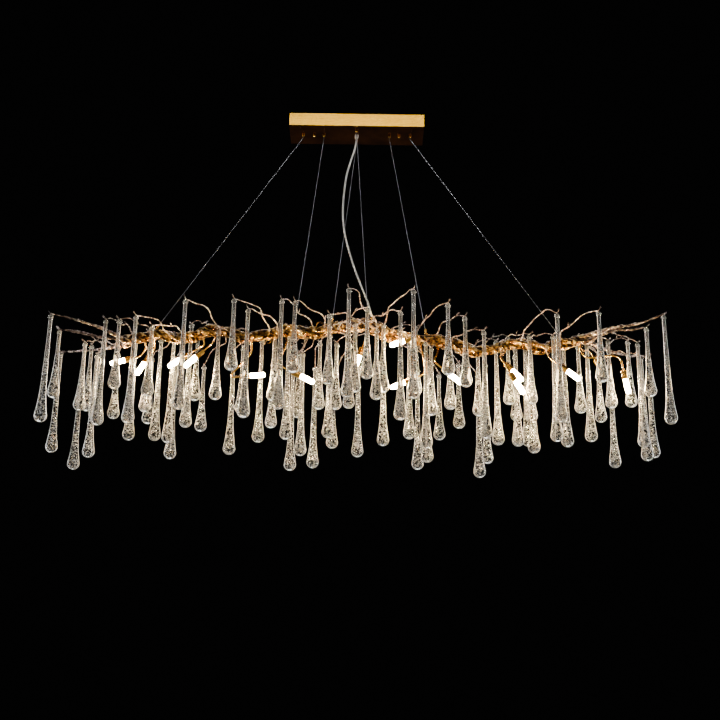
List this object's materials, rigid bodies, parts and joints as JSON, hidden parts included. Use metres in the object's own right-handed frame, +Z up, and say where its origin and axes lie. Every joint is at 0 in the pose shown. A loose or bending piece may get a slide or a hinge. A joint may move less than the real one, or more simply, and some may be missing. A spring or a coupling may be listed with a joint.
{
  "type": "crystal chandelier",
  "caption": "Long branch-shaped chandelier: oblong gold canopy, steel wires, twisted metal branch with twigs, small tube lamps and swinging bubbled-glass drops.",
  "frame": {"origin": "middle of the ceiling face of the canopy, which is also the centre of the four ceiling screw slots", "axes": "+X along the branch, to the picture's right; +Y away from the viewer; +Z up, into the ceiling"},
  "size_m": [1.7829, 0.445, 1.054],
  "materials": {
    "canopy_gold": "brushed gold outside, dark mirror-like underside",
    "zinc_plate": "zinc plated",
    "brass": "polished, warm",
    "white_nylon": "moulded",
    "clear_plastic": "translucent",
    "steel_wire": "stranded stainless wire",
    "cord_jacket": "clear jacket over tinned braid",
    "branch_metal": "gold leaf over a bark-like surface, darker in the hollows",
    "twig_metal": "brown gilt, satin",
    "lamp_glass": "frosted, lit",
    "ring_wire": "bright wire",
    "drop_glass": "clear rod on top, full of small bubbles below"
  },
  "bodies": {
    "canopy_and_branch": {"canopy_cover": "canopy_gold", "ceiling_bracket": "zinc_plate", "canopy_studs": "zinc_plate", "canopy_cap_nuts": "brass", "wire_grippers": "brass", "gripper_nuts": "zinc_plate", "terminal_block": "white_nylon", "cord_gland": "clear_plastic", "wire_outer_left": "steel_wire", "wire_inner_left": "steel_wire", "wire_middle_back": "steel_wire", "wire_middle_front": "steel_wire", "wire_inner_right": "steel_wire", "wire_outer_right": "steel_wire", "wire_lugs": "brass", "cord_ferrule": "brass", "power_cord": "cord_jacket", "branch_strand_a": "branch_metal", "branch_strand_b": "branch_metal", "branch_strand_c": "branch_metal", "twigs_left": "twig_metal", "twigs_middle": "twig_metal", "twigs_right": "twig_metal", "lamp_arms": "brass", "lamp_sockets": "brass", "lamp_tubes": "lamp_glass", "drop_rings": "ring_wire"},
    "drop_row_01": {"drops_01": "drop_glass"},
    "drop_row_02": {"drops_02": "drop_glass"},
    "drop_row_03": {"drops_03": "drop_glass"},
    "drop_row_04": {"drops_04": "drop_glass"},
    "drop_row_05": {"drops_05": "drop_glass"},
    "drop_row_06": {"drops_06": "drop_glass"},
    "drop_row_07": {"drops_07": "drop_glass"},
    "drop_row_08": {"drops_08": "drop_glass"},
    "drop_row_09": {"drops_09": "drop_glass"},
    "drop_row_10": {"drops_10": "drop_glass"},
    "drop_row_11": {"drops_11": "drop_glass"},
    "drop_row_12": {"drops_12": "drop_glass"},
    "drop_row_13": {"drops_13": "drop_glass"},
    "drop_row_14": {"drops_14": "drop_glass"},
    "drop_row_15": {"drops_15": "drop_glass"},
    "drop_row_16": {"drops_16": "drop_glass"},
    "drop_row_17": {"drops_17": "drop_glass"},
    "drop_row_18": {"drops_18": "drop_glass"},
    "drop_row_19": {"drops_19": "drop_glass"},
    "drop_row_20": {"drops_20": "drop_glass"},
    "drop_row_21": {"drops_21": "drop_glass"},
    "drop_row_22": {"drops_22": "drop_glass"},
    "drop_row_23": {"drops_23": "drop_glass"},
    "drop_row_24": {"drops_24": "drop_glass"},
    "drop_row_25": {"drops_25": "drop_glass"},
    "drop_row_26": {"drops_26": "drop_glass"},
    "drop_row_27": {"drops_27": "drop_glass"},
    "drop_row_28": {"drops_28": "drop_glass"},
    "drop_row_29": {"drops_29": "drop_glass"},
    "drop_row_30": {"drops_30": "drop_glass"},
    "drop_row_31": {"drops_31": "drop_glass"},
    "drop_row_32": {"drops_32": "drop_glass"}
  },
  "joints": [
    {"name": "drop_row_01_swing", "type": "hinge", "parent": "canopy_and_branch", "child": "drop_row_01", "pos_m": [-0.012, -0.205, -0.642], "axis": [1, 0, 0], "range_deg": [-6, 6]},
    {"name": "drop_row_02_swing", "type": "hinge", "parent": "canopy_and_branch", "child": "drop_row_02", "pos_m": [-0.449, -0.205, -0.681], "axis": [1, 0, 0], "range_deg": [-6, 6]},
    {"name": "drop_row_03_swing", "type": "hinge", "parent": "canopy_and_branch", "child": "drop_row_03", "pos_m": [-0.32, -0.195, -0.673], "axis": [1, 0, 0], "range_deg": [-6, 6]},
    {"name": "drop_row_04_swing", "type": "hinge", "parent": "canopy_and_branch", "child": "drop_row_04", "pos_m": [0.038, -0.167, -0.681], "axis": [1, 0, 0], "range_deg": [-6, 6]},
    {"name": "drop_row_05_swing", "type": "hinge", "parent": "canopy_and_branch", "child": "drop_row_05", "pos_m": [-0.285, -0.157, -0.686], "axis": [1, 0, 0], "range_deg": [-6, 6]},
    {"name": "drop_row_06_swing", "type": "hinge", "parent": "canopy_and_branch", "child": "drop_row_06", "pos_m": [-0.065, -0.118, -0.682], "axis": [1, 0, 0], "range_deg": [-6, 6]},
    {"name": "drop_row_07_swing", "type": "hinge", "parent": "canopy_and_branch", "child": "drop_row_07", "pos_m": [-0.829, -0.113, -0.692], "axis": [1, 0, 0], "range_deg": [-6, 6]},
    {"name": "drop_row_08_swing", "type": "hinge", "parent": "canopy_and_branch", "child": "drop_row_08", "pos_m": [-0.552, -0.099, -0.716], "axis": [1, 0, 0], "range_deg": [-6, 6]},
    {"name": "drop_row_09_swing", "type": "hinge", "parent": "canopy_and_branch", "child": "drop_row_09", "pos_m": [-0.692, -0.046, -0.678], "axis": [1, 0, 0], "range_deg": [-6, 6]},
    {"name": "drop_row_10_swing", "type": "hinge", "parent": "canopy_and_branch", "child": "drop_row_10", "pos_m": [-0.375, -0.045, -0.705], "axis": [1, 0, 0], "range_deg": [-6, 6]},
    {"name": "drop_row_11_swing", "type": "hinge", "parent": "canopy_and_branch", "child": "drop_row_11", "pos_m": [0.203, -0.034, -0.726], "axis": [1, 0, 0], "range_deg": [-6, 6]},
    {"name": "drop_row_12_swing", "type": "hinge", "parent": "canopy_and_branch", "child": "drop_row_12", "pos_m": [-0.84, 0.038, -0.679], "axis": [1, 0, 0], "range_deg": [-6, 6]},
    {"name": "drop_row_13_swing", "type": "hinge", "parent": "canopy_and_branch", "child": "drop_row_13", "pos_m": [0.407, 0.039, -0.692], "axis": [1, 0, 0], "range_deg": [-6, 6]},
    {"name": "drop_row_14_swing", "type": "hinge", "parent": "canopy_and_branch", "child": "drop_row_14", "pos_m": [-0.464, 0.04, -0.654], "axis": [1, 0, 0], "range_deg": [-6, 6]},
    {"name": "drop_row_15_swing", "type": "hinge", "parent": "canopy_and_branch", "child": "drop_row_15", "pos_m": [-0.184, 0.045, -0.683], "axis": [1, 0, 0], "range_deg": [-6, 6]},
    {"name": "drop_row_16_swing", "type": "hinge", "parent": "canopy_and_branch", "child": "drop_row_16", "pos_m": [-0.767, 0.052, -0.71], "axis": [1, 0, 0], "range_deg": [-6, 6]},
    {"name": "drop_row_17_swing", "type": "hinge", "parent": "canopy_and_branch", "child": "drop_row_17", "pos_m": [-0.263, 0.075, -0.684], "axis": [1, 0, 0], "range_deg": [-6, 6]},
    {"name": "drop_row_18_swing", "type": "hinge", "parent": "canopy_and_branch", "child": "drop_row_18", "pos_m": [-0.519, 0.088, -0.685], "axis": [1, 0, 0], "range_deg": [-6, 6]},
    {"name": "drop_row_19_swing", "type": "hinge", "parent": "canopy_and_branch", "child": "drop_row_19", "pos_m": [-0.345, 0.099, -0.714], "axis": [1, 0, 0], "range_deg": [-6, 6]},
    {"name": "drop_row_20_swing", "type": "hinge", "parent": "canopy_and_branch", "child": "drop_row_20", "pos_m": [-0.454, 0.114, -0.656], "axis": [1, 0, 0], "range_deg": [-6, 6]},
    {"name": "drop_row_21_swing", "type": "hinge", "parent": "canopy_and_branch", "child": "drop_row_21", "pos_m": [-0.744, 0.117, -0.723], "axis": [1, 0, 0], "range_deg": [-6, 6]},
    {"name": "drop_row_22_swing", "type": "hinge", "parent": "canopy_and_branch", "child": "drop_row_22", "pos_m": [-0.637, 0.13, -0.667], "axis": [1, 0, 0], "range_deg": [-6, 6]},
    {"name": "drop_row_23_swing", "type": "hinge", "parent": "canopy_and_branch", "child": "drop_row_23", "pos_m": [-0.175, 0.148, -0.744], "axis": [1, 0, 0], "range_deg": [-6, 6]},
    {"name": "drop_row_24_swing", "type": "hinge", "parent": "canopy_and_branch", "child": "drop_row_24", "pos_m": [-0.77, 0.151, -0.68], "axis": [1, 0, 0], "range_deg": [-6, 6]},
    {"name": "drop_row_25_swing", "type": "hinge", "parent": "canopy_and_branch", "child": "drop_row_25", "pos_m": [0.365, 0.154, -0.755], "axis": [1, 0, 0], "range_deg": [-6, 6]},
    {"name": "drop_row_26_swing", "type": "hinge", "parent": "canopy_and_branch", "child": "drop_row_26", "pos_m": [-0.161, 0.192, -0.678], "axis": [1, 0, 0], "range_deg": [-6, 6]},
    {"name": "drop_row_27_swing", "type": "hinge", "parent": "canopy_and_branch", "child": "drop_row_27", "pos_m": [-0.238, 0.202, -0.707], "axis": [1, 0, 0], "range_deg": [-6, 6]},
    {"name": "drop_row_28_swing", "type": "hinge", "parent": "canopy_and_branch", "child": "drop_row_28", "pos_m": [-0.599, 0.205, -0.699], "axis": [1, 0, 0], "range_deg": [-6, 6]},
    {"name": "drop_row_29_swing", "type": "hinge", "parent": "canopy_and_branch", "child": "drop_row_29", "pos_m": [-0.804, 0.205, -0.735], "axis": [1, 0, 0], "range_deg": [-6, 6]},
    {"name": "drop_row_30_swing", "type": "hinge", "parent": "canopy_and_branch", "child": "drop_row_30", "pos_m": [-0.872, 0.205, -0.685], "axis": [1, 0, 0], "range_deg": [-6, 6]},
    {"name": "drop_row_31_swing", "type": "hinge", "parent": "canopy_and_branch", "child": "drop_row_31", "pos_m": [-0.443, 0.205, -0.72], "axis": [1, 0, 0], "range_deg": [-6, 6]},
    {"name": "drop_row_32_swing", "type": "hinge", "parent": "canopy_and_branch", "child": "drop_row_32", "pos_m": [-0.058, 0.205, -0.765], "axis": [1, 0, 0], "range_deg": [-6, 6]}
  ]
}
